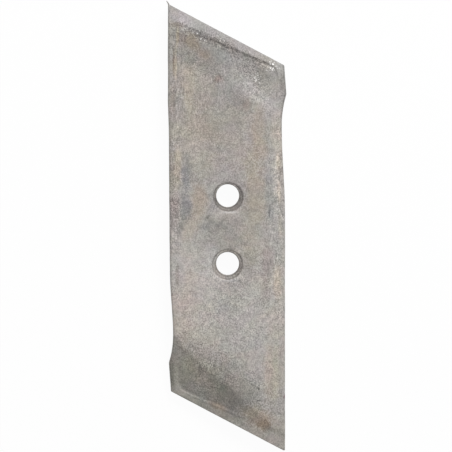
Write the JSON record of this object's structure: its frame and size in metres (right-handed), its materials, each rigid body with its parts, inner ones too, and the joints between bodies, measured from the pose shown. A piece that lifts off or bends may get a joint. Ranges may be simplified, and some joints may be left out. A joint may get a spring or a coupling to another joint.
{
  "type": "ploughshare point",
  "caption": "Reversible ploughshare point: a flat forged steel bar with a slanted, thinned cutting end at either end and countersunk bolt holes in line at its middle.",
  "frame": {"origin": "midway between the two bolt holes, on the flat soil face", "axes": "+Y along the bar towards the upper cutting end, +Z out of the bearing face, +X across the bar"},
  "size_m": [0.0709, 0.265, 0.012],
  "materials": {
    "forged_steel": "dull, as forged, with brown-grey scale"
  },
  "bodies": {
    "root": {"share_point": "forged_steel"}
  },
  "joints": []
}
